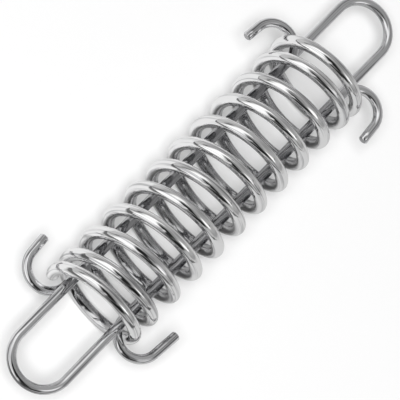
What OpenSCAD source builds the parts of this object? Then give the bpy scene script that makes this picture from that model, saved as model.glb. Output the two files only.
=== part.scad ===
// Extension spring: two wire drawbars pull on the far ends of a compression
// coil, so pulling their eyes apart squeezes the coil.
// X runs along the coil from the left eye to the right eye, Z is up, sizes in mm.

/* [Coil] */
// Outside diameter of the coil
coil_od = 40; // [36:1:44]
// Diameter of the coil's round wire
coil_wire = 4.6; // [4.1:0.1:5.1]
// Turns of the coil, counted from side to side
coil_turns = 11.5; // [7.5:1:13.5]
// Distance between neighbouring turns in the open middle
pitch = 11.8; // [9:0.1:14]
// Distance between neighbouring turns where an end starts
end_pitch = 4.9; // [4.9:0.1:6]
// Arc that each cut end runs on below the axis, past the side where the count starts, in degrees
end_overlap = 20; // [16:1:30]

/* [Drawbars] */
// Diameter of the drawbars' round wire
bar_wire = 3.5; // [3:0.1:4]
// Clear width inside an eye, and between a drawbar's two legs
eye_width = 18.9; // [17:0.1:21]
// Straight leg between the coil's end and the bend of the eye
eye_reach = 25.6; // [18:0.2:32]
// How much longer a drawbar's leg is where its hook passes round the coil's cut end
leg_extra = 6.7; // [4:0.1:9]
// Clear radius inside a hook
hook_in_r = 6.5; // [6:0.1:7.5]
// Angle that a hook bends through, in degrees
hook_turn = 175; // [165:1:180]
// Straight tip after the bend of the long legs' hooks
long_leg_tip = 7.3; // [5:0.1:11]
// Straight tip after the bend of the left drawbar's other hook
left_tip = 6.4; // [5:0.1:11]
// Straight tip after the bend of the right drawbar's other hook
right_tip = 10.8; // [5:0.1:12]

/* [Fits] */
// Gap between the two drawbars where their legs cross inside the coil
bar_gap = 0.3; // [0.2:0.1:0.6]
// Gap between the coil's last turn and the hooks that hold it
seat_gap = 0.3; // [0.2:0.1:0.6]

/* [Hidden] */
$fn = 48;
bar_steel = [0.66, 0.66, 0.68];
coil_steel = [0.78, 0.78, 0.79];

// Coil: a turn count u runs from 0 at the left cut end to all_turns at the right one
coil_r = (coil_od - coil_wire) / 2;
all_turns = coil_turns + 2 * end_overlap / 360;
close_from = 0.2;
close_to = 1.55;
pitch_rate = (pitch - end_pitch) / (close_to - close_from);
half_len = lead(all_turns / 2);
wire_sides = 14;
rings = ceil(32 * all_turns);
// A polygon of wire_sides corners with the round wire's section area
facet_scale = sqrt(2 * PI / wire_sides / sin(360 / wire_sides));
cut_bevel = 0.4;
bevel_turns = cut_bevel / (2 * PI * coil_r);

// Drawbars: the left one lies above the coil's axis, the right one below it
axis_z = coil_od / 2;
bar_lift = (bar_wire + bar_gap) / 2;
leg_y = (eye_width + bar_wire) / 2;
hook_r = hook_in_r + bar_wire / 2;
hook_y = leg_y + hook_r;
eye_x = -to_hundredth(half_len + eye_reach);
tip_bevel = 0.4;

// The coil's last turn sits in the crook of a short leg's hook, seat_gap clear of its bend.
// The hook holds it half a turn from where the count starts.
crossing_turns = (end_overlap + 180 - asin(bar_lift / coil_r)) / 360;
crossing_y = sqrt(coil_r * coil_r - bar_lift * bar_lift);
crook_r = hook_in_r - coil_wire / 2 - seat_gap;
crook_x = sqrt(crook_r * crook_r - (hook_y - crossing_y) * (hook_y - crossing_y));
hook_x = to_hundredth(half_len - lead(crossing_turns) - crook_x);

function to_hundredth(v) = round(100 * v) / 100;

// Distance along the axis from a cut end after u turns, slow at the end and then steady
function lead(u) =
    let (t = min(max(u - close_from, 0), close_to - close_from))
    end_pitch * min(u, close_to) + pitch_rate * t * t / 2 + pitch * max(u - close_to, 0);

function coil_x(u) = u < all_turns / 2 ? lead(u) - half_len : half_len - lead(all_turns - u);

function turn_angle(u) = 360 * u - end_overlap;

function wire_point(u) = [coil_x(u), coil_r * cos(turn_angle(u)), coil_r * sin(turn_angle(u))];

function unit(v) = v / norm(v);

// Corners of the wire's section at turn u with radius r
function wire_ring(u, r) =
    let (
        step = 0.001,
        along = unit(wire_point(u + step) - wire_point(u - step)),
        outward = [0, cos(turn_angle(u)), sin(turn_angle(u))],
        across = cross(along, outward)
    )
    [for (k = [0 : wire_sides - 1])
        wire_point(u) + r * facet_scale * (cos(360 * k / wire_sides) * outward
            + sin(360 * k / wire_sides) * across)];

// The round wire swept along the coil, with a small bevel at each cut end
module coil_spring() {
    wire_r = coil_wire / 2;
    stations = concat(
        [[0, wire_r - cut_bevel], [bevel_turns, wire_r]],
        [for (i = [1 : rings - 1]) [all_turns * i / rings, wire_r]],
        [[all_turns - bevel_turns, wire_r], [all_turns, wire_r - cut_bevel]]
    );
    last = len(stations) - 1;
    points = [for (s = stations) each wire_ring(s[0], s[1])];
    sides = [for (i = [0 : last - 1], k = [0 : wire_sides - 1])
        let (a = i * wire_sides + k, b = i * wire_sides + (k + 1) % wire_sides)
        each [[a, a + wire_sides, b], [b, a + wire_sides, b + wire_sides]]];
    left_cut = [for (k = [0 : wire_sides - 1]) k];
    right_cut = [for (k = [wire_sides - 1 : -1 : 0]) last * wire_sides + k];
    color(coil_steel)
        translate([0, 0, axis_z])
            polyhedron(points, concat(sides, [left_cut, right_cut]));
}

// A bend of the drawbar wire about Z, from the X direction through the given angle
module wire_bend(r, turn) {
    rotate_extrude(angle = turn)
        translate([r, 0])
            circle(d = bar_wire);
}

// One leg that runs to x_end, its hook and the hook's tip, on the +Y side. The ball
// of the wire's size lies inside the wire and joins the tip to the bend.
module leg_and_hook(x_end, tip) {
    translate([eye_x, leg_y, 0])
        rotate([0, 90, 0])
            cylinder(h = x_end - eye_x, d = bar_wire);
    translate([x_end, hook_y, 0]) {
        rotate([0, 0, -90])
            wire_bend(hook_r, hook_turn);
        rotate([0, 0, hook_turn - 90])
            translate([hook_r, 0, 0])
                rotate([-90, 0, 0]) {
                    sphere(d = bar_wire);
                    cylinder(h = tip - tip_bevel, d = bar_wire);
                    translate([0, 0, tip - tip_bevel])
                        cylinder(h = tip_bevel, d1 = bar_wire, d2 = bar_wire - 2 * tip_bevel);
                }
    }
}

// A drawbar in its own plane: the eye at -X and the two hooks at +X, with the longer leg at -Y
module drawbar(short_leg_tip) {
    translate([eye_x, 0, 0])
        rotate([0, 0, 90])
            wire_bend(leg_y, 180);
    leg_and_hook(hook_x, short_leg_tip);
    mirror([0, 1, 0])
        leg_and_hook(hook_x + leg_extra, long_leg_tip);
}

module left_drawbar() {
    color(bar_steel)
        translate([0, 0, axis_z + bar_lift])
            drawbar(left_tip);
}

// The same bar turned end for end about Z, a bar's thickness lower
module right_drawbar() {
    color(bar_steel)
        translate([0, 0, axis_z - bar_lift])
            rotate([0, 0, 180])
                drawbar(right_tip);
}

coil_spring();
left_drawbar();
right_drawbar();
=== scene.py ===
"""Extension spring: a compression coil squeezed by two hooked wire drawbars.

All three wires are swept by Geometry Nodes and finished in bright plated steel. Sizes are in metres, X runs
along the coil from the left eye to the right eye, and Z is up.
"""
import logging
import math
from dataclasses import dataclass, field
from enum import Enum
from typing import Any, Dict, List, Sequence, Tuple, Union

import bpy
from mathutils import Matrix, Vector

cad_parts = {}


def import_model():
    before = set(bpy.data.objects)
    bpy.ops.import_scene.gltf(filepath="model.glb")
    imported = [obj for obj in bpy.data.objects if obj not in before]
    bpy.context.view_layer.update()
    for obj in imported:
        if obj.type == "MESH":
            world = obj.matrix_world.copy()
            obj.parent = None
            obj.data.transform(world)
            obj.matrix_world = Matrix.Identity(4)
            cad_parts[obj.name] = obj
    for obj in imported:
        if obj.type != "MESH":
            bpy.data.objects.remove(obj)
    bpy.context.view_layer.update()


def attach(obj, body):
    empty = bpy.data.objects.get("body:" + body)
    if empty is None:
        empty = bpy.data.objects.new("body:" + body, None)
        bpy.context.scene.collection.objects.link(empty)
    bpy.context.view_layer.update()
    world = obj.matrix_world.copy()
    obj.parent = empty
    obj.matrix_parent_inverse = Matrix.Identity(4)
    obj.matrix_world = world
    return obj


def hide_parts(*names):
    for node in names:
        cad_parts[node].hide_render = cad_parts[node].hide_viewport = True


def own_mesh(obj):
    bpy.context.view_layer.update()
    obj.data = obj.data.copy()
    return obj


LOG = logging.getLogger("extension_spring")
COIL_BODY = "left_bar_and_coil"
RIGHT_BODY = "right_bar"
MM = 0.001
# Height of the coil's axis over the surface that it lies on
AXIS_Z = 20 * MM
WHITE = (1.0, 1.0, 1.0, 1.0)
# Mesh attribute with each point's place on its wire if the wire were straight along Z
STRAIGHT_WIRE = "straight_wire"

Socket = bpy.types.NodeSocket
Colour = Tuple[float, float, float]
Span = Tuple[float, float]


class Side(Enum):
    """The end of the coil where a drawbar has its eye."""

    LEFT = "left"
    RIGHT = "right"


def add_object(name: str, data: Any) -> bpy.types.Object:
    """Makes an object and puts it in the scene.

    Args:
        name: the object's name.
        data: its mesh, curve, camera or lamp.

    Returns:
        The new object.
    """
    made = bpy.data.objects.new(name, data)
    bpy.context.scene.collection.objects.link(made)
    return made


# Node building


class TreeBuilder:
    """Adds nodes to a node tree and joins them, so that a formula reads in one line."""

    def __init__(self, tree: bpy.types.NodeTree) -> None:
        """Keeps the tree that nodes are added to.

        Args:
            tree: the geometry or shader tree to fill.
        """
        self.tree = tree

    def node(self, kind: str, **settings: Any) -> bpy.types.Node:
        """Adds one node.

        Args:
            kind: Blender's type name of the node.
            settings: properties set on the node.

        Returns:
            The new node.
        """
        made = self.tree.nodes.new(kind)
        for name, value in settings.items():
            setattr(made, name, value)
        return made

    def put(self, value: Any, target: Socket) -> None:
        """Joins a socket to an input, or sets the input's own value.

        Args:
            value: an output socket, or a constant.
            target: the input socket.
        """
        if isinstance(value, bpy.types.NodeSocket):
            self.tree.links.new(value, target)
        else:
            target.default_value = value

    def filled(self, kind: str, *values: Any, **settings: Any) -> bpy.types.Node:
        """Adds one node and fills its first inputs.

        Args:
            kind: Blender's type name of the node.
            values: its first inputs in order, as sockets or constants.
            settings: properties set on the node.

        Returns:
            The new node.
        """
        made = self.node(kind, **settings)
        for value, target in zip(values, made.inputs):
            self.put(value, target)
        return made

    def math(self, operation: str, *values: Any) -> Socket:
        """Adds a Math node.

        Args:
            operation: the node's operation.
            values: its inputs, as sockets or numbers.

        Returns:
            The result socket.
        """
        return self.filled("ShaderNodeMath", *values, operation=operation).outputs[0]

    def vector(self, operation: str, *values: Any) -> Socket:
        """Adds a Vector Math node.

        Args:
            operation: the node's operation.
            values: its vector inputs, as sockets or vectors.

        Returns:
            The result socket, a number for a length, a distance or a dot product.
        """
        made = self.filled("ShaderNodeVectorMath", *values, operation=operation)
        return made.outputs[1 if operation in ("DISTANCE", "DOT_PRODUCT", "LENGTH") else 0]

    def combine(self, x: Any, y: Any, z: Any) -> Socket:
        """Makes a vector from three numbers.

        Args:
            x: the first component.
            y: the second component.
            z: the third component.

        Returns:
            The vector socket.
        """
        return self.filled("ShaderNodeCombineXYZ", x, y, z).outputs[0]

    def split(self, vector: Socket) -> Tuple[Socket, Socket, Socket]:
        """Takes a vector apart.

        Args:
            vector: the vector socket.

        Returns:
            The sockets of its three components.
        """
        x, y, z = self.filled("ShaderNodeSeparateXYZ", vector).outputs
        return x, y, z

    def clamp(self, value: Any, low: Any, high: Any) -> Socket:
        """Keeps a number within two limits.

        Args:
            value: the number.
            low: the least result.
            high: the greatest result.

        Returns:
            The result socket.
        """
        return self.math("MINIMUM", self.math("MAXIMUM", value, low), high)

    def stretch(self, value: Any, span: Span, result: Span = (0.0, 1.0), smooth: bool = False) -> Socket:
        """Maps a span of numbers onto another and keeps the result within it.

        Args:
            value: the number to map.
            span: the values that give the first and the last result.
            result: the first and the last result.
            smooth: whether the result starts and ends softly.

        Returns:
            The mapped socket.
        """
        ease = "SMOOTHSTEP" if smooth else "LINEAR"
        return self.filled("ShaderNodeMapRange", value, *span, *result, interpolation_type=ease).outputs[0]


class ShaderTree(TreeBuilder):
    """The node tree of a material or a world, emptied first."""

    def __init__(self, owner: Union[bpy.types.Material, bpy.types.World]) -> None:
        """Empties the owner's tree.

        Args:
            owner: the material or world to fill.
        """
        owner.use_nodes = True
        owner.node_tree.nodes.clear()
        super().__init__(owner.node_tree)

    def place(self) -> Socket:
        """Returns the Object coordinates of the shaded point."""
        return self.node("ShaderNodeTexCoord").outputs["Object"]

    def noise(self, place: Socket, scale: float, detail: float, roughness: float = 0.5) -> Socket:
        """Adds a noise.

        Args:
            place: the coordinates that it is read at.
            scale: its steps for each unit of the coordinates.
            detail: how many finer layers it has.
            roughness: how strong the finer layers are.

        Returns:
            The noise's value.
        """
        made = self.node("ShaderNodeTexNoise")
        parts = {"Vector": place, "Scale": scale, "Detail": detail, "Roughness": roughness}
        for name, value in parts.items():
            self.put(value, made.inputs[name])
        return made.outputs[0]

    def mix_colours(self, share: Socket, first: Union[Socket, Colour],
                    second: Union[Socket, Colour]) -> Socket:
        """Mixes two colours.

        Args:
            share: the share of the second colour.
            first: the first colour, as a socket or as three numbers.
            second: the second colour, as a socket or as three numbers.

        Returns:
            The mixed colour.
        """
        made = self.node("ShaderNodeMix", data_type="RGBA")
        self.put(share, made.inputs[0])
        for colour, target in ((first, made.inputs[6]), (second, made.inputs[7])):
            self.put((*colour, 1.0) if isinstance(colour, tuple) else colour, target)
        return made.outputs[2]

    def mix_shaders(self, share: Socket, first: Socket, second: Socket) -> Socket:
        """Mixes two shaders.

        Args:
            share: the share of the second shader.
            first: the first shader.
            second: the second shader.

        Returns:
            The mixed shader.
        """
        return self.filled("ShaderNodeMixShader", share, first, second).outputs[0]

    def bump(self, height: Socket, strength: float, distance: float) -> Socket:
        """Turns a height into a normal.

        Args:
            height: the height's value.
            strength: how much of the bump shows.
            distance: the height, in metres, of a value of 1.

        Returns:
            The normal.
        """
        made = self.node("ShaderNodeBump")
        parts = {"Height": height, "Strength": strength, "Distance": distance}
        for name, value in parts.items():
            self.put(value, made.inputs[name])
        return made.outputs[0]

    def metal(self, colour: Socket, roughness: Socket, normal: Socket) -> Socket:
        """Adds the shader of a bare or plated metal.

        Args:
            colour: the metal's colour.
            roughness: its roughness.
            normal: its surface normal.

        Returns:
            The shader.
        """
        made = self.node("ShaderNodeBsdfPrincipled")
        parts = {"Base Color": colour, "Metallic": 1.0, "Roughness": roughness, "Normal": normal}
        for name, value in parts.items():
            self.put(value, made.inputs[name])
        return made.outputs[0]

    def finish(self, shader: Socket, output: str = "ShaderNodeOutputMaterial") -> None:
        """Joins the last shader to the tree's output.

        Args:
            shader: the finished shader.
            output: Blender's type name of the output node.
        """
        self.filled(output, shader)


class GeometryGroup(TreeBuilder):
    """A Geometry Nodes group with named inputs and one geometry output."""

    def __init__(self, name: str, numbers: Sequence[str], wholes: Sequence[str],
                 finishes: Sequence[str]) -> None:
        """Makes the group and its interface.

        Args:
            name: the group's name.
            numbers: the names of its inputs that are numbers.
            wholes: the names of its inputs that are whole numbers.
            finishes: the names of its inputs that are materials.
        """
        tree = bpy.data.node_groups.new(name, "GeometryNodeTree")
        super().__init__(tree)
        tree.interface.new_socket("Geometry", in_out="INPUT", socket_type="NodeSocketGeometry")
        tree.interface.new_socket("Geometry", in_out="OUTPUT", socket_type="NodeSocketGeometry")
        self.identifiers: Dict[str, str] = {}
        kinds = {"NodeSocketFloat": numbers, "NodeSocketInt": wholes, "NodeSocketMaterial": finishes}
        for kind, names in kinds.items():
            for entry in names:
                made = tree.interface.new_socket(entry, in_out="INPUT", socket_type=kind)
                self.identifiers[entry] = made.identifier
        self.group_in = self.node("NodeGroupInput")
        self.group_out = self.node("NodeGroupOutput")

    def value(self, name: str) -> Socket:
        """Returns the socket of a named input."""
        return self.group_in.outputs[name]

    def finish(self, geometry: Socket) -> None:
        """Joins the last geometry to the group's output."""
        self.put(geometry, self.group_out.inputs[0])


def to_plain_mesh(holder: bpy.types.Object, group: GeometryGroup, values: Dict[str, Any],
                  name: str) -> bpy.types.Object:
    """Runs a group on an object and returns the result as a plain mesh object.

    Args:
        holder: the object that carries the group's input geometry. It is removed.
        group: the Geometry Nodes group.
        values: the group's inputs by name.
        name: the new object's name.

    Returns:
        The new mesh object, at the origin, with its place in its mesh.
    """
    modifier = holder.modifiers.new("build", "NODES")
    modifier.node_group = group.tree
    for key, value in values.items():
        modifier[group.identifiers[key]] = value
    bpy.context.view_layer.update()
    graph = bpy.context.evaluated_depsgraph_get()
    mesh = bpy.data.meshes.new_from_object(holder.evaluated_get(graph), depsgraph=graph)
    holder.modifiers.remove(modifier)
    bpy.data.objects.remove(holder)
    mesh.name = name
    finishes = [finish.name for finish in mesh.materials]
    LOG.info("%s: %d faces, finishes %s", name, len(mesh.polygons), finishes)
    return add_object(name, mesh)


# Finishes


@dataclass(frozen=True)
class Grain:
    """A noise pattern: its steps for each metre on each axis, its finer layers and their strength."""

    steps: Tuple[float, float, float]
    detail: float
    roughness: float


@dataclass(frozen=True)
class Mask:
    """Two patterns mixed, and the span of the mix over which the mask rises."""

    share: float
    span: Span

    def over(self, build: TreeBuilder, first: Socket, second: Socket, result: Span = (0.0, 1.0)) -> Socket:
        """Mixes the patterns and stretches the mix.

        Args:
            build: the material's tree.
            first: the pattern that has the mask's share.
            second: the pattern that has the rest.
            result: the values at the start and the end of the span.

        Returns:
            The mask's value.
        """
        rest = build.math("MULTIPLY", second, 1.0 - self.share)
        return build.stretch(build.math("MULTIPLY_ADD", first, self.share, rest), self.span, result)


@dataclass(frozen=True)
class PlatedSteel:
    """Bright plated spring wire: drawing lines along the wire, faint clouding and a few fine scratches.

    Inside the coil the colour is darkened with painted shade, standing in for the shade that falls inside the
    coil. It sets in over its reach, two distances from the coil's axis, and over its end, two distances along
    the axis from the middle.
    """

    name: str
    tint: Colour
    dull_tint: Colour
    # Colour of the painted shade inside the coil
    inside_shade_tint: Colour
    roughness: Span
    # Distances from the coil's axis over which the painted shade sets in
    inside_shade_reach: Span
    seed: Span = (0.0, 0.0)
    # Distances along the axis over which the painted shade sets in
    inside_shade_end: Span = (66 * MM, 56 * MM)
    lines: Grain = Grain((1100.0, 1100.0, 22.0), 3.0, 0.65)
    ridges: Grain = Grain((620.0, 620.0, 9.0), 1.0, 0.5)
    clouds: Grain = Grain((90.0, 90.0, 60.0), 3.0, 0.6)
    scratches: Grain = Grain((900.0, 900.0, 240.0), 2.0, 0.5)
    bright: Mask = Mask(0.85, (0.39, 0.49))
    # Patches of the painted shade inside the coil
    inside_shade: Mask = Mask(0.7, (0.34, 0.56))
    wear: Mask = Mask(0.4, (0.35, 0.68))
    lines_height: float = 0.12
    clouds_height: float = 0.3
    bump_strength: float = 0.6
    bump_distance: float = 0.4 * MM

    def make(self) -> bpy.types.Material:
        """Builds the material on the wire's own straightened coordinates.

        Returns:
            The finished material.
        """
        material = bpy.data.materials.new(self.name)
        build = ShaderTree(material)
        wire = build.node("ShaderNodeAttribute", attribute_name=STRAIGHT_WIRE).outputs["Vector"]
        grains = (self.lines, self.ridges, self.clouds, self.scratches)
        lines, ridges, clouds, scratches = [self.pattern(build, wire, grain) for grain in grains]
        plated = build.mix_colours(self.bright.over(build, lines, clouds), self.dull_tint, self.tint)
        # Painted shade inside the coil, patchy along the lines and clouds
        inside_shade = build.math("MULTIPLY", self.inside(build), self.inside_shade.over(build, lines, clouds))
        colour = build.mix_colours(inside_shade, plated, self.inside_shade_tint)
        roughness = self.wear.over(build, scratches, clouds, self.roughness)
        swell = build.math("MULTIPLY_ADD", clouds, self.clouds_height, ridges)
        height = build.math("MULTIPLY_ADD", lines, self.lines_height, swell)
        normal = build.bump(height, self.bump_strength, self.bump_distance)
        build.finish(build.metal(colour, roughness, normal))
        return material

    def inside(self, build: ShaderTree) -> Socket:
        """Share of painted shade on the steel inside the coil.

        Args:
            build: the material's tree.

        Returns:
            A value that runs from 0 outside the coil to 1 inside it.
        """
        x, y, z = build.split(build.place())
        height = build.math("SUBTRACT", z, AXIS_Z)
        across = build.math("MULTIPLY", y, y)
        reach = build.math("SQRT", build.math("MULTIPLY_ADD", height, height, across))
        end = build.stretch(build.math("ABSOLUTE", x), self.inside_shade_end)
        return build.math("MULTIPLY", build.stretch(reach, self.inside_shade_reach), end)

    def pattern(self, build: ShaderTree, place: Socket, grain: Grain) -> Socket:
        """Adds one noise pattern of the wire.

        Args:
            build: the material's tree.
            place: the straightened coordinates.
            grain: the pattern's size on each axis.

        Returns:
            The pattern's value.
        """
        mapping = build.node("ShaderNodeMapping")
        mapping.inputs["Scale"].default_value = grain.steps
        mapping.inputs["Location"].default_value = (*self.seed, 0.0)
        build.put(place, mapping.inputs["Vector"])
        return build.noise(mapping.outputs[0], 1.0, grain.detail, grain.roughness)


@dataclass(frozen=True)
class CutSteel:
    """The sheared end of a wire: bare grey steel with a coarse grain."""

    name: str = "sheared wire end"
    dark: Colour = (0.34, 0.34, 0.35)
    pale: Colour = (0.58, 0.58, 0.59)
    roughness: Span = (0.30, 0.50)
    grain_steps: float = 2200.0
    grain_detail: float = 4.0
    bump_strength: float = 0.35
    bump_distance: float = 0.1 * MM

    def make(self) -> bpy.types.Material:
        """Builds the material on Object coordinates.

        Returns:
            The finished material.
        """
        material = bpy.data.materials.new(self.name)
        build = ShaderTree(material)
        grain = build.noise(build.place(), self.grain_steps, self.grain_detail)
        colour = build.mix_colours(grain, self.dark, self.pale)
        roughness = build.stretch(grain, (0.0, 1.0), self.roughness)
        normal = build.bump(grain, self.bump_strength, self.bump_distance)
        build.finish(build.metal(colour, roughness, normal))
        return material


# Wires


def sweep_wire(group: GeometryGroup, curve: Socket, ends: Socket) -> Socket:
    """Sweeps a round wire along a curve, with bevelled and closed ends, and stores its straightened place.

    Args:
        group: the group to add to, with the inputs Wire Diameter, Cut Bevel and Sides.
        curve: the wire's path.
        ends: 1 at the path's two end points and 0 at the others.

    Returns:
        The wire's mesh.
    """
    wire = group.value("Wire Diameter")
    bevel = group.math("DIVIDE", group.math("MULTIPLY", group.value("Cut Bevel"), 2.0), wire)
    sized = group.node("GeometryNodeSetCurveRadius")
    group.put(curve, sized.inputs["Curve"])
    group.put(group.math("SUBTRACT", 1.0, group.math("MULTIPLY", ends, bevel)), sized.inputs["Radius"])
    along = group.node("GeometryNodeCaptureAttribute", domain="POINT")
    along.capture_items.new("FLOAT", "along")
    group.put(sized.outputs[0], along.inputs["Geometry"])
    group.put(group.node("GeometryNodeSplineParameter").outputs["Length"], along.inputs[1])
    ring = group.node("GeometryNodeCurvePrimitiveCircle")
    group.put(group.value("Sides"), ring.inputs["Resolution"])
    group.put(group.math("MULTIPLY", wire, 0.5), ring.inputs["Radius"])
    around = group.node("GeometryNodeCaptureAttribute", domain="POINT")
    around.capture_items.new("VECTOR", "around")
    group.put(ring.outputs[0], around.inputs["Geometry"])
    group.put(group.node("GeometryNodeInputPosition").outputs[0], around.inputs[1])
    sweep = group.node("GeometryNodeCurveToMesh")
    group.put(along.outputs[0], sweep.inputs["Curve"])
    group.put(around.outputs[0], sweep.inputs["Profile Curve"])
    group.put(group.node("GeometryNodeInputRadius").outputs[0], sweep.inputs["Scale"])
    group.put(True, sweep.inputs["Fill Caps"])
    x, y, _ = group.split(around.outputs[1])
    store = group.node("GeometryNodeStoreNamedAttribute", data_type="FLOAT_VECTOR", domain="POINT")
    group.put(STRAIGHT_WIRE, store.inputs["Name"])
    group.put(sweep.outputs[0], store.inputs["Geometry"])
    group.put(group.combine(x, y, along.outputs[1]), store.inputs["Value"])
    return store.outputs[0]


def dress_wire(group: GeometryGroup, wire: Socket) -> Socket:
    """Shades a wire's sides smooth and its ends flat, and sets the finish of each.

    Args:
        group: the group to add to, with the inputs Steel and Cut End.
        wire: the wire's mesh, whose sides have four corners a face and whose ends have more.

    Returns:
        The finished geometry.
    """
    corners = group.node("GeometryNodeInputMeshFaceNeighbors").outputs["Vertex Count"]
    is_end = group.node("FunctionNodeCompare", data_type="INT", operation="GREATER_THAN")
    group.put(corners, is_end.inputs[2])
    group.put(4, is_end.inputs[3])
    smooth = group.node("GeometryNodeSetShadeSmooth")
    group.put(wire, smooth.inputs["Geometry"])
    flat = group.node("GeometryNodeSetShadeSmooth")
    group.put(False, flat.inputs["Shade Smooth"])
    group.put(smooth.outputs[0], flat.inputs["Geometry"])
    group.put(is_end.outputs[0], flat.inputs["Selection"])
    realize = group.node("GeometryNodeRealizeInstances")
    group.put(flat.outputs[0], realize.inputs[0])
    dressed = group.node("GeometryNodeSetMaterial")
    group.put(realize.outputs[0], dressed.inputs["Geometry"])
    group.put(group.value("Steel"), dressed.inputs["Material"])
    ends = group.node("GeometryNodeSetMaterial")
    group.put(dressed.outputs[0], ends.inputs["Geometry"])
    group.put(is_end.outputs[0], ends.inputs["Selection"])
    group.put(group.value("Cut End"), ends.inputs["Material"])
    return ends.outputs[0]


@dataclass
class Coil:
    """The compression coil: one round wire wound in open turns, closed up towards its two cut ends.

    An end's pitch opens up between close_from and close_to turns from its cut. The wire runs on end_overlap
    degrees past each end of the count of turns. A hook presses seat_share of the wire past the wire's middle.
    """

    outside: float = 40 * MM
    wire: float = 4.6 * MM
    turns: float = 11.5
    pitch: float = 11.8 * MM
    end_pitch: float = 4.9 * MM
    close_from: float = 0.2
    close_to: float = 1.55
    end_overlap: float = 20.0
    bevel: float = 0.4 * MM
    seat_share: float = 0.45
    rings_per_turn: int = 96
    sides: int = 32
    # The inside tint and reach set the painted shade on the coil's turns inside the coil
    steel: PlatedSteel = field(default_factory=lambda: PlatedSteel(
        "bright plated coil wire", tint=(1.0, 1.0, 1.0), dull_tint=(0.56, 0.56, 0.57),
        inside_shade_tint=(0.53, 0.53, 0.54), roughness=(0.01, 0.04), inside_shade_reach=(18.2 * MM, 16.4 * MM)))

    @property
    def radius(self) -> float:
        """Radius of the coil at the middle of its wire."""
        return (self.outside - self.wire) / 2

    @property
    def all_turns(self) -> float:
        """Turns from cut end to cut end."""
        return self.turns + 2 * self.end_overlap / 360

    def lead(self, u: float) -> float:
        """Distance along the axis from a cut end.

        Args:
            u: turns from that cut end.

        Returns:
            The distance in metres.
        """
        rate = (self.pitch - self.end_pitch) / (self.close_to - self.close_from)
        ramp = min(max(u - self.close_from, 0.0), self.close_to - self.close_from)
        return (self.end_pitch * min(u, self.close_to) + rate * ramp * ramp / 2
                + self.pitch * max(u - self.close_to, 0.0))

    @property
    def half(self) -> float:
        """Half of the coil's length between the middles of its cut ends."""
        return self.lead(self.all_turns / 2)

    @property
    def seat_x(self) -> float:
        """Distance from the coil's middle to where a hook presses on its last turn."""
        half_turn_on = 0.5 + self.end_overlap / 360
        return self.half - self.lead(half_turn_on) + self.seat_share * self.wire

    @staticmethod
    def count_turns(g: GeometryGroup, last: Socket) -> Tuple[Socket, Socket]:
        """Gives each ring of the path its turn count, with a short step at each end for the bevel.

        Args:
            g: the coil's group.
            last: the index of the last ring.

        Returns:
            The turns from the left cut end, and 1 at the two end rings and 0 at the others.
        """
        index = g.node("GeometryNodeInputIndex").outputs[0]
        is_first = g.math("LESS_THAN", index, 0.5)
        is_last = g.math("GREATER_THAN", index, g.math("SUBTRACT", last, 0.5))
        round_length = g.math("MULTIPLY", g.value("Coil Radius"), 2 * math.pi)
        bevel = g.math("DIVIDE", g.value("Cut Bevel"), round_length)
        share = g.math("DIVIDE", g.math("SUBTRACT", index, 1.0), g.math("SUBTRACT", last, 2.0))
        inner = g.math("SUBTRACT", g.value("All Turns"), g.math("MULTIPLY", bevel, 2.0))
        steps = g.math("MULTIPLY", g.math("SUBTRACT", is_last, is_first), bevel)
        turns = g.math("ADD", g.math("MULTIPLY_ADD", g.clamp(share, 0.0, 1.0), inner, bevel), steps)
        return turns, g.math("ADD", is_first, is_last)

    @staticmethod
    def lead_nodes(g: GeometryGroup, turns: Socket) -> Socket:
        """Builds the nodes that work out the same distance as the method lead.

        Args:
            g: the coil's group.
            turns: the turns from the nearer cut end.

        Returns:
            The distance along the axis from that cut end.
        """
        pitch, end_pitch, close_from, close_to = [
            g.value(name) for name in ("Pitch", "End Pitch", "Close From", "Close To")]
        span = g.math("SUBTRACT", close_to, close_from)
        rate = g.math("DIVIDE", g.math("SUBTRACT", pitch, end_pitch), span)
        ramp = g.clamp(g.math("SUBTRACT", turns, close_from), 0.0, span)
        slow = g.math("MULTIPLY", end_pitch, g.math("MINIMUM", turns, close_to))
        bend = g.math("MULTIPLY", g.math("MULTIPLY", rate, 0.5), g.math("MULTIPLY", ramp, ramp))
        past = g.math("MAXIMUM", g.math("SUBTRACT", turns, close_to), 0.0)
        return g.math("ADD", g.math("ADD", slow, bend), g.math("MULTIPLY", pitch, past))

    def group(self) -> GeometryGroup:
        """Builds the node group that winds the coil.

        Returns:
            The group, whose inputs are the coil's sizes and finishes.
        """
        numbers = ("Coil Radius", "Axis Height", "All Turns", "Pitch", "End Pitch", "Close From", "Close To",
                   "Half Length", "End Overlap", "Wire Diameter", "Cut Bevel")
        g = GeometryGroup("wind coil", numbers, ("Rings", "Sides"), ("Steel", "Cut End"))
        line = g.node("GeometryNodeMeshLine", mode="OFFSET")
        g.put(g.value("Rings"), line.inputs["Count"])
        turns, at_end = self.count_turns(g, g.math("SUBTRACT", g.value("Rings"), 1.0))
        all_turns = g.value("All Turns")
        side = g.math("SIGN", g.math("SUBTRACT", turns, g.math("MULTIPLY", all_turns, 0.5)))
        lead = self.lead_nodes(g, g.math("MINIMUM", turns, g.math("SUBTRACT", all_turns, turns)))
        radius = g.value("Coil Radius")
        overlap = g.math("RADIANS", g.value("End Overlap"))
        angle = g.math("SUBTRACT", g.math("MULTIPLY", turns, 2 * math.pi), overlap)
        x = g.math("MULTIPLY", side, g.math("SUBTRACT", g.value("Half Length"), lead))
        y = g.math("MULTIPLY", radius, g.math("COSINE", angle))
        z = g.math("MULTIPLY_ADD", radius, g.math("SINE", angle), g.value("Axis Height"))
        wound = g.node("GeometryNodeSetPosition")
        g.put(g.filled("GeometryNodeMeshToCurve", line.outputs[0]).outputs[0], wound.inputs["Geometry"])
        g.put(g.combine(x, y, z), wound.inputs["Position"])
        g.finish(dress_wire(g, sweep_wire(g, wound.outputs[0], at_end)))
        return g

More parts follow.
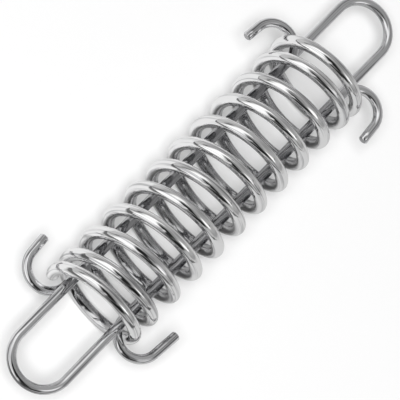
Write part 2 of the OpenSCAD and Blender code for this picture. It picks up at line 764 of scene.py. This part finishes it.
    def build(self, cut: bpy.types.Material) -> bpy.types.Object:
        """Winds the coil and sets it to ride with its body.

        Args:
            cut: the material of the sheared ends.

        Returns:
            The coil's object.
        """
        holder = add_object("coil holder", bpy.data.meshes.new("coil holder"))
        rings = int(self.rings_per_turn * self.all_turns) + 1
        piece = to_plain_mesh(holder, self.group(), {
            "Coil Radius": self.radius, "Axis Height": AXIS_Z, "All Turns": self.all_turns,
            "Pitch": self.pitch, "End Pitch": self.end_pitch, "Close From": self.close_from,
            "Close To": self.close_to, "Half Length": self.half, "End Overlap": self.end_overlap,
            "Wire Diameter": self.wire, "Cut Bevel": self.bevel, "Rings": rings, "Sides": self.sides,
            "Steel": self.steel.make(), "Cut End": cut,
        }, "coil_wire")
        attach(piece, COIL_BODY)
        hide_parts("coil_spring")
        held = 2 * self.seat_x
        self.seat_x
        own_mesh(piece)
        return piece


@dataclass
class Drawbar:
    """One bent wire: an eye, a short and a long leg through the coil, and a hook on each leg.

    A bend has a point of its path every step degrees, and a leg has leg_spans equal stretches.
    """

    side: Side
    coil: Coil
    short_leg_tip: float
    long_leg_tip: float = 7.3 * MM
    wire: float = 3.5 * MM
    eye_width: float = 18.9 * MM
    eye_reach: float = 25.6 * MM
    leg_extra: float = 6.7 * MM
    hook_in_r: float = 6.5 * MM
    hook_turn: float = 175.0
    bar_gap: float = 0.3 * MM
    seat_gap: float = 0.3 * MM
    bevel: float = 0.4 * MM
    step: float = 3.0
    leg_spans: int = 24
    sides: int = 32
    # The inside tint and reach set the painted shade on the bar legs inside the coil
    steel: PlatedSteel = field(default_factory=lambda: PlatedSteel(
        "bright plated drawbar wire", tint=(0.84, 0.84, 0.85), dull_tint=(0.34, 0.34, 0.35),
        inside_shade_tint=(0.34, 0.34, 0.35), roughness=(0.04, 0.10), inside_shade_reach=(20.0 * MM, 16.0 * MM),
        seed=(3.1, 5.27)))

    @property
    def lift(self) -> float:
        """Height of the bar's plane above or below the coil's axis."""
        return (self.wire + self.bar_gap) / 2

    @property
    def leg_y(self) -> float:
        """Distance from the middle to the centre line of a leg, and the eye's radius there."""
        return (self.eye_width + self.wire) / 2

    @property
    def hook_r(self) -> float:
        """Radius of a hook's centre line."""
        return self.hook_in_r + self.wire / 2

    @property
    def eye_x(self) -> float:
        """Distance from the coil's middle to the middle of the eye's bend."""
        return self.coil.half + self.eye_reach

    @property
    def hook_x(self) -> float:
        """Distance from the coil's middle to the short leg's bend.

        Returns:
            The distance at which the coil's last turn sits in the hook's crook.
        """
        crossing = (self.coil.end_overlap + 180 - math.degrees(math.asin(self.lift / self.coil.radius))) / 360
        crook_r = self.hook_in_r - self.coil.wire / 2 - self.seat_gap
        aside = self.leg_y + self.hook_r - math.sqrt(self.coil.radius ** 2 - self.lift ** 2)
        return self.coil.half - self.coil.lead(crossing) - math.sqrt(crook_r ** 2 - aside ** 2)

    def arm(self, hook_x: float, tip: float) -> List[Tuple[float, float]]:
        """Path of one leg of the bar in its own plane, as if on the +Y side.

        Args:
            hook_x: where the bend of the leg's hook has its middle.
            tip: length of the straight tip.

        Returns:
            Points from the middle of the eye to the end of the hook's tip.
        """
        eye, hook = round(90 / self.step), round(self.hook_turn / self.step)
        bend = math.radians(self.hook_turn)
        hook_y = self.leg_y + self.hook_r
        points: List[Tuple[float, float]] = []
        for i in range(eye + 1):
            a = math.radians(180 - 90 * i / eye)
            points.append((-self.eye_x + self.leg_y * math.cos(a), self.leg_y * math.sin(a)))
        for i in range(1, self.leg_spans):
            points.append((-self.eye_x + (hook_x + self.eye_x) * i / self.leg_spans, self.leg_y))
        for i in range(hook + 1):
            a = math.radians(-90) + bend * i / hook
            points.append((hook_x + self.hook_r * math.cos(a), hook_y + self.hook_r * math.sin(a)))
        x, y = points[-1]
        for reach in (tip / 2, tip - self.bevel, tip):
            points.append((x + reach * math.cos(bend), y + reach * math.sin(bend)))
        return points

    def path(self) -> List[Vector]:
        """Lays both legs end to end and turns the bar to its side of the coil.

        Returns:
            The wire's path from one tip to the other, in the part's frame.
        """
        short = self.arm(self.hook_x, self.short_leg_tip)
        long = self.arm(self.hook_x + self.leg_extra, self.long_leg_tip)
        flat = list(reversed(short)) + [(x, -y) for x, y in long[1:]]
        turn = 1 if self.side is Side.LEFT else -1
        return [Vector((turn * x, turn * y, AXIS_Z + turn * self.lift)) for x, y in flat]

    @staticmethod
    def group() -> GeometryGroup:
        """Builds the node group that sweeps a wire along its input curve.

        Returns:
            The group, whose inputs are the wire's sizes and finishes.
        """
        g = GeometryGroup("sweep bar", ("Wire Diameter", "Cut Bevel"), ("Sides",), ("Steel", "Cut End"))
        ends = g.filled("GeometryNodeCurveEndpointSelection", 1, 1)
        g.finish(dress_wire(g, sweep_wire(g, g.value("Geometry"), ends.outputs[0])))
        return g

    def build(self, group: GeometryGroup, steel: bpy.types.Material,
              cut: bpy.types.Material) -> bpy.types.Object:
        """Bends the bar and sets what it rides on.

        Args:
            group: the sweeping group.
            steel: the wire's material.
            cut: the material of its sheared ends.

        Returns:
            The bar's object.
        """
        curve = bpy.data.curves.new("bar path", "CURVE")
        curve.dimensions = "3D"
        points = self.path()
        spline = curve.splines.new("POLY")
        spline.points.add(len(points) - 1)
        for point, place in zip(spline.points, points):
            point.co = (*place, 1.0)
        piece = to_plain_mesh(add_object("bar path", curve), group, {
            "Wire Diameter": self.wire, "Cut Bevel": self.bevel, "Sides": self.sides, "Steel": steel,
            "Cut End": cut,
        }, f"{self.side.value}_drawbar_wire")
        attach(piece, COIL_BODY if self.side is Side.LEFT else RIGHT_BODY)
        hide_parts(f"{self.side.value}_drawbar")
        return piece


# Studio


@dataclass(frozen=True)
class Photograph:
    """The camera, from a fit of the part to the photograph."""

    place: Tuple[float, float, float] = (-0.36007, 0.09686, 0.86607)
    right: Tuple[float, float, float] = (0.6449, -0.67989, 0.34909)
    up: Tuple[float, float, float] = (0.66057, 0.72558, 0.19282)
    lens: float = 235.26
    sensor: float = 36.0
    clip_start: float = 0.01

    def build(self) -> bpy.types.Object:
        """Adds the camera and makes it the scene's own.

        Returns:
            The camera.
        """
        data = bpy.data.cameras.new("camera")
        data.lens = self.lens
        data.sensor_width = self.sensor
        data.sensor_height = self.sensor
        data.sensor_fit = "HORIZONTAL"
        data.clip_start = self.clip_start
        data.dof.use_dof = False
        camera = add_object("camera", data)
        right = Vector(self.right).normalized()
        up = (Vector(self.up) - Vector(self.up).dot(right) * right).normalized()
        turn = Matrix((right, up, right.cross(up))).transposed()
        camera.matrix_world = Matrix.Translation(Vector(self.place)) @ turn.to_4x4()
        bpy.context.scene.camera = camera
        return camera


def direction(azimuth: float, elevation: float) -> Vector:
    """Turns two angles into a direction.

    Args:
        azimuth: degrees from +X towards +Y.
        elevation: degrees above the floor.

    Returns:
        The unit vector.
    """
    around, rise = math.radians(azimuth), math.radians(elevation)
    level = math.cos(rise)
    return Vector((level * math.cos(around), level * math.sin(around), math.sin(rise)))


@dataclass(frozen=True)
class Panel:
    """A soft-edged strip of one grey on the tent, between two directions from the part, in degrees."""

    start: Span
    end: Span
    half_width: float
    shade: float
    edge: float

    def paint(self, build: TreeBuilder, toward: Socket, under: Socket) -> Socket:
        """Lays the strip over what the tent shows so far.

        Args:
            build: the builder of the tent's material.
            toward: the direction of the shaded point from the part.
            under: the grey below the strip.

        Returns:
            The grey with the strip on it.
        """
        first, last = direction(*self.start), direction(*self.end)
        run = last - first
        away = build.vector("SUBTRACT", toward, first)
        share = build.math("DIVIDE", build.vector("DOT_PRODUCT", away, run), run.length_squared)
        share = build.clamp(share, 0.0, 1.0)
        nearest = build.vector("MULTIPLY_ADD", build.combine(share, share, share), run, first)
        aside = build.vector("DISTANCE", toward, build.vector("NORMALIZE", nearest))
        rim = (math.radians(self.half_width + self.edge), math.radians(self.half_width - self.edge))
        mask = build.stretch(aside, rim, smooth=True)
        return build.math("MULTIPLY_ADD", mask, build.math("SUBTRACT", self.shade, under), under)


@dataclass(frozen=True)
class Tent:
    """A grey studio tent round the part, seen only in its reflections.

    Its wall has one grey, and its foot a paler one that has faded out foot_top degrees above the floor.
    """

    radius: float = 1.5
    around: int = 96
    rows: int = 24
    wall: float = 0.36
    foot: float = 0.53
    foot_top: float = 25.0
    panels: Tuple[Panel, ...] = (
        Panel((32.0, 14.0), (94.0, 8.0), 9.0, 0.50, 8.0),
        Panel((45.0, 52.0), (102.0, 22.0), 4.5, 0.06, 2.0),
        Panel((20.0, 66.0), (96.0, 50.0), 1.6, 0.12, 1.5),
        Panel((-120.0, 30.0), (-60.0, 36.0), 1.8, 0.08, 1.0),
        Panel((-27.0, 53.0), (-16.0, 27.0), 13.0, 0.26, 12.0),
        Panel((-110.0, 14.0), (-55.0, 10.0), 6.5, 0.30, 4.0),
        Panel((-130.0, 52.0), (-98.0, 42.0), 12.0, 1.0, 4.0),
        Panel((95.0, 63.0), (150.0, 17.0), 23.0, 1.0, 9.0),
        Panel((170.0, 75.0), (-149.0, 36.0), 22.0, 0.26, 6.0),
        Panel((171.0, 62.0), (-165.0, 47.0), 14.0, 0.02, 4.0),
        Panel((-166.0, 12.0), (-137.0, 30.0), 11.0, 0.02, 3.0),
        Panel((179.0, 4.0), (-179.0, 42.0), 3.0, 0.70, 2.0),
    )

    def dome(self) -> bpy.types.Mesh:
        """Builds the tent's half ball.

        Returns:
            The mesh.
        """
        rows = [[tuple(self.radius * direction(360 * i / self.around, 90 * j / self.rows))
                 for i in range(self.around)] for j in range(self.rows)]
        faces = []
        for j in range(self.rows - 1):
            low, high = j * self.around, (j + 1) * self.around
            for i in range(self.around):
                beside = (i + 1) % self.around
                faces.append((low + i, low + beside, high + beside, high + i))
        faces.append(tuple((self.rows - 1) * self.around + i for i in range(self.around)))
        mesh = bpy.data.meshes.new("tent")
        mesh.from_pydata([place for row in rows for place in row], [], faces)
        return mesh

    def cloth(self) -> bpy.types.Material:
        """Builds the glowing cloth: a grey wall, paler at its foot, with the panels on it.

        Returns:
            The finished material.
        """
        material = bpy.data.materials.new("tent")
        build = ShaderTree(material)
        toward = build.vector("NORMALIZE", build.place())
        foot_top = math.sin(math.radians(self.foot_top))
        grey = build.stretch(build.split(toward)[2], (0.0, foot_top), (self.foot, self.wall), smooth=True)
        for panel in self.panels:
            grey = panel.paint(build, toward, grey)
        build.finish(build.filled("ShaderNodeEmission", build.combine(grey, grey, grey)).outputs[0])
        return material

    def build(self) -> bpy.types.Object:
        """Adds the tent.

        Returns:
            The tent's object, which neither the camera nor the soft light sees.
        """
        tent = add_object("tent", self.dome())
        tent.data.materials.append(self.cloth())
        tent.visible_camera = False
        tent.visible_diffuse = False
        tent.visible_transmission = False
        tent.visible_shadow = False
        return tent


@dataclass(frozen=True)
class Studio:
    """A plain white floor, a soft lamp from the camera's side, and the tent that the bright wire reflects.

    The floor's own glow grows to plain white over glow_rise, two distances from the part's middle.
    The dimmed values are the shares of its light that the floor lacks in reflections: right of the coil, left
    of it, and beyond its near end.
    """

    floor_half: float = 6.0
    floor_white: float = 0.95
    floor_glow: float = 0.28
    glow_rise: Span = (0.2, 0.8)
    right_dimmed: float = 0.38
    left_dimmed: float = 0.21
    sides_y: Span = (-20 * MM, 20 * MM)
    near_dimmed: float = 0.85
    near_x: Span = (-85 * MM, -130 * MM)
    ambient: float = 0.15
    lamp_place: Tuple[float, float, float] = (-0.80, 0.18, 2.05)
    lamp_size: float = 0.85
    lamp_power: float = 48.5
    tent: Tent = field(default_factory=Tent)

    def world(self) -> None:
        """Sets soft light for the part and plain white for what the camera and the bright wire see."""
        world = bpy.data.worlds.new("studio")
        bpy.context.scene.world = world
        build = ShaderTree(world)
        soft, white = [build.filled("ShaderNodeBackground", WHITE, strength).outputs[0]
                       for strength in (self.ambient, 1.0)]
        path = build.node("ShaderNodeLightPath").outputs
        mirrored = build.math("MAXIMUM", path["Is Glossy Ray"], path["Is Transmission Ray"])
        seen = build.math("MAXIMUM", path["Is Camera Ray"], mirrored)
        build.finish(build.mix_shaders(seen, soft, white), "ShaderNodeOutputWorld")

    def floor_paint(self) -> bpy.types.Material:
        """Builds the floor's white.

        Camera rays see it lit, with some plain white mixed in that grows far from the part. Glossy rays see
        it dimmed.

        Returns:
            The finished material.
        """
        material = bpy.data.materials.new("white floor")
        build = ShaderTree(material)
        path = build.node("ShaderNodeLightPath").outputs
        pale = (self.floor_white, self.floor_white, self.floor_white, 1.0)
        lit = build.filled("ShaderNodeBsdfDiffuse", pale)
        glow = build.filled("ShaderNodeEmission", WHITE, path["Is Camera Ray"])
        place = build.place()
        x, y, _ = build.split(place)
        near_end = build.stretch(x, self.near_x, (0.0, self.near_dimmed))
        across = build.stretch(y, self.sides_y, (self.right_dimmed, self.left_dimmed))
        dimmed = build.math("MAXIMUM", near_end, across)
        glowing = build.stretch(build.vector("LENGTH", place), self.glow_rise, (self.floor_glow, 1.0))
        shown = build.math("MULTIPLY", path["Is Camera Ray"], glowing)
        share = build.math("MULTIPLY_ADD", path["Is Glossy Ray"], dimmed, shown)
        build.finish(build.mix_shaders(share, lit.outputs[0], glow.outputs[0]))
        return material

    def floor(self) -> bpy.types.Object:
        """Adds a wide floor that keeps the part's shadow.

        Returns:
            The floor's object.
        """
        mesh = bpy.data.meshes.new("floor")
        far = self.floor_half
        mesh.from_pydata([(-far, -far, 0), (far, -far, 0), (far, far, 0), (-far, far, 0)], [], [(0, 1, 2, 3)])
        mesh.materials.append(self.floor_paint())
        floor = add_object("floor", mesh)
        return floor

    def lamp(self) -> bpy.types.Object:
        """Adds a square soft lamp that shines on the part from the camera's side.

        Returns:
            The lamp's object, which the bright wire doesn't show.
        """
        data = bpy.data.lights.new("soft lamp", "AREA")
        data.size = self.lamp_size
        data.energy = self.lamp_power
        lamp = add_object("soft lamp", data)
        lamp.location = self.lamp_place
        lamp.rotation_euler = Vector(self.lamp_place).to_track_quat("Z", "Y").to_euler()
        lamp.visible_glossy = False
        return lamp

    def build(self) -> None:
        """Sets the world, the floor, the lamp and the tent."""
        self.world()
        self.floor()
        self.lamp()
        self.tent.build()


def main() -> None:
    """Builds the spring, the studio and the camera."""
    logging.basicConfig(level=logging.INFO, format="%(name)s: %(message)s")
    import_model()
    cut = CutSteel().make()
    coil = Coil()
    coil.build(cut)
    bars = [Drawbar(Side.LEFT, coil, short_leg_tip=6.4 * MM),
            Drawbar(Side.RIGHT, coil, short_leg_tip=10.8 * MM)]
    group = Drawbar.group()
    steel = bars[0].steel.make()
    for bar in bars:
        bar.build(group, steel, cut)
    Studio().build()
    Photograph().build()
    bpy.context.scene.view_settings.view_transform = "Standard"


if __name__ == "__main__":
    main()
